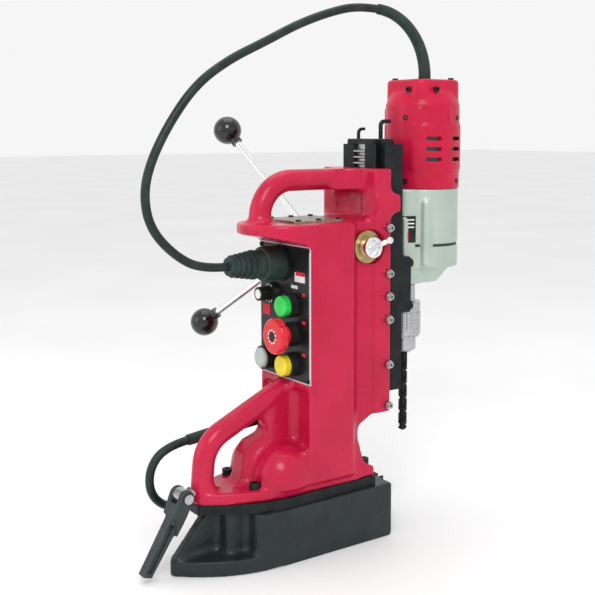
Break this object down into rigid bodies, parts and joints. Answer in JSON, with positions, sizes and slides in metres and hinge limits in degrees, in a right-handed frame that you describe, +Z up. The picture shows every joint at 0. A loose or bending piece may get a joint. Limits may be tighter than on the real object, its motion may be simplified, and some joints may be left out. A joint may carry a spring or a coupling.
{
  "type": "magnetic drill press",
  "caption": "Portable drill press with an electromagnet base, a rack-fed drill unit on a slide, a swivel housing with handles and a control panel, and corded supply.",
  "frame": {"origin": "centre of the magnet face that stands on the work", "axes": "+Z up, +Y towards the drill unit, +X towards the side opposite the feed handles"},
  "size_m": [0.3052, 0.49, 0.706],
  "materials": {
    "red_casting": "gloss enamel on a casting",
    "black_casting": "satin black paint on a rough casting",
    "black_steel": "black oxide",
    "bare_steel": "ground",
    "grey_alloy": "as cast",
    "chrome": "polished",
    "bronze": "turned",
    "copper": "wound and varnished",
    "resin": "cast resin",
    "red_plastic": "moulded",
    "red_button": "moulded",
    "green_button": "moulded",
    "yellow_button": "moulded",
    "black_plastic": "moulded",
    "knob_plastic": "polished phenolic",
    "panel_face": "black with a pale border",
    "label": "printed",
    "lens": "clear",
    "rubber": "moulded",
    "cord_jacket": "extruded",
    "board": "laminate",
    "laminate": "stacked",
    "cover_plate": "plated",
    "cast_lever": "as cast"
  },
  "bodies": {
    "magnet": {"magnet_base": "black_casting", "magnet_coils": "copper", "coil_seals": "resin", "pivot_pin": "bare_steel", "power_cord": "cord_jacket", "cord_coil": "cord_jacket", "power_plug": "rubber"},
    "press_frame": {"swivel_plate": "black_steel", "main_housing": "red_casting", "base_bolts": "black_steel", "gib": "bronze", "gib_screws": "bare_steel", "feed_bushes": "bronze", "deck_cover": "cover_plate", "deck_screws": "black_steel", "control_panel": "panel_face", "panel_screws": "black_steel", "panel_labels": "label", "motor_receptacle": "black_plastic", "motor_plug": "rubber", "button_collars": "black_plastic", "pilot_lens": "lens", "switch_bodies": "black_plastic", "control_board": "board", "power_boot": "rubber", "motor_cord": "cord_jacket"},
    "lever_stud": {"lever_stud": "bare_steel"},
    "lock_lever": {"lock_lever": "cast_lever"},
    "green_button": {"green_button": "green_button"},
    "yellow_button": {"yellow_button": "yellow_button"},
    "red_button": {"red_button": "red_button"},
    "speed_dial": {"speed_dial": "black_plastic"},
    "feed": {"feed_shaft": "bare_steel", "pinion": "bare_steel", "feed_hub": "black_steel", "feed_spokes": "chrome", "feed_knobs": "knob_plastic"},
    "feed_wing": {"feed_wing": "chrome"},
    "carriage": {"slide": "black_steel", "rack": "bare_steel", "slide_cap": "black_plastic", "hex_keys": "black_steel", "motor_bracket": "black_steel", "bracket_bolts": "black_steel", "gear_case": "grey_alloy", "motor_cover": "red_plastic", "cover_screws": "black_steel", "stator": "laminate", "bearings": "bare_steel", "brushes": "black_plastic", "cord_sleeve": "rubber"},
    "armature": {"armature": "laminate"},
    "spindle": {"spindle": "bare_steel", "spindle_gear": "bare_steel", "chuck_body": "bare_steel", "drill_bit": "black_steel"},
    "chuck_sleeve": {"chuck_sleeve": "bare_steel"},
    "chuck_jaw_1": {"chuck_jaw_1": "bare_steel"},
    "chuck_jaw_2": {"chuck_jaw_2": "bare_steel"},
    "chuck_jaw_3": {"chuck_jaw_3": "bare_steel"}
  },
  "joints": [
    {"name": "swivel", "type": "hinge", "parent": "magnet", "child": "press_frame", "pos_m": [0, 0.068, 0.071], "axis": [0, 0, 1], "range_deg": [-10, 10], "deforming": ["power_cord"]},
    {"name": "lever_turn", "type": "hinge", "parent": "press_frame", "child": "lever_stud", "pos_m": [0, -0.115, 0.097], "axis": [0, 1, 0], "range_deg": [-60, 20]},
    {"name": "lever_fold", "type": "hinge", "parent": "lever_stud", "child": "lock_lever", "pos_m": [0, -0.134, 0.097], "axis": [1, 0, 0], "range_deg": [-100, 0]},
    {"name": "green_button_press", "type": "slide", "parent": "press_frame", "child": "green_button", "axis": [0, 1, 0], "range_m": [0, 0.0035], "stiffness_N_per_m": 400, "springref_m": -0.003},
    {"name": "yellow_button_press", "type": "slide", "parent": "press_frame", "child": "yellow_button", "axis": [0, 1, 0], "range_m": [0, 0.0035], "stiffness_N_per_m": 400, "springref_m": -0.003},
    {"name": "red_button_press", "type": "slide", "parent": "press_frame", "child": "red_button", "axis": [0, 1, 0], "range_m": [0, 0.0035], "stiffness_N_per_m": 400, "springref_m": -0.003},
    {"name": "speed_turn", "type": "hinge", "parent": "press_frame", "child": "speed_dial", "pos_m": [-0.025, 0, 0.33], "axis": [0, 1, 0], "range_deg": [-135, 135]},
    {"name": "feed_slide", "type": "slide", "parent": "press_frame", "child": "carriage", "axis": [0, 0, 1], "range_m": [-0.115, 0.16], "deforming": ["motor_cord"]},
    {"name": "feed_turn", "type": "hinge", "parent": "press_frame", "child": "feed", "pos_m": [0, 0.1115, 0.39], "axis": [1, 0, 0], "range_deg": [-240, 334]},
    {"name": "wing_turn", "type": "hinge", "parent": "feed", "child": "feed_wing", "pos_m": [0.06, 0.1115, 0.39], "axis": [1, 0, 0], "range_deg": [-60, 60]},
    {"name": "spindle_spin", "type": "hinge", "parent": "carriage", "child": "spindle", "pos_m": [0, 0.216, 0.3], "axis": [0, 0, 1], "continuous": true},
    {"name": "armature_spin", "type": "hinge", "parent": "carriage", "child": "armature", "pos_m": [0, 0.248, 0.5], "axis": [0, 0, 1], "continuous": true},
    {"name": "sleeve_turn", "type": "hinge", "parent": "spindle", "child": "chuck_sleeve", "pos_m": [0, 0.216, 0.27], "axis": [0, 0, 1], "range_deg": [0, 720]},
    {"name": "jaw_1_slide", "type": "slide", "parent": "spindle", "child": "chuck_jaw_1", "axis": [0.1801, 0.104, 0.9781], "range_m": [0, 0.006]},
    {"name": "jaw_2_slide", "type": "slide", "parent": "spindle", "child": "chuck_jaw_2", "axis": [-0.1801, 0.104, 0.9781], "range_m": [0, 0.006]},
    {"name": "jaw_3_slide", "type": "slide", "parent": "spindle", "child": "chuck_jaw_3", "axis": [0, -0.2079, 0.9781], "range_m": [0, 0.006]}
  ],
  "couplings": [
    {"joint": "feed_turn", "follows": "feed_slide", "rad_per_m": 36.364},
    {"joint": "armature_spin", "follows": "spindle_spin", "ratio": -4.3333},
    {"joint": "jaw_1_slide", "follows": "sleeve_turn", "m_per_rad": 0.00047742},
    {"joint": "jaw_2_slide", "follows": "sleeve_turn", "m_per_rad": 0.00047742},
    {"joint": "jaw_3_slide", "follows": "sleeve_turn", "m_per_rad": 0.00047742}
  ]
}
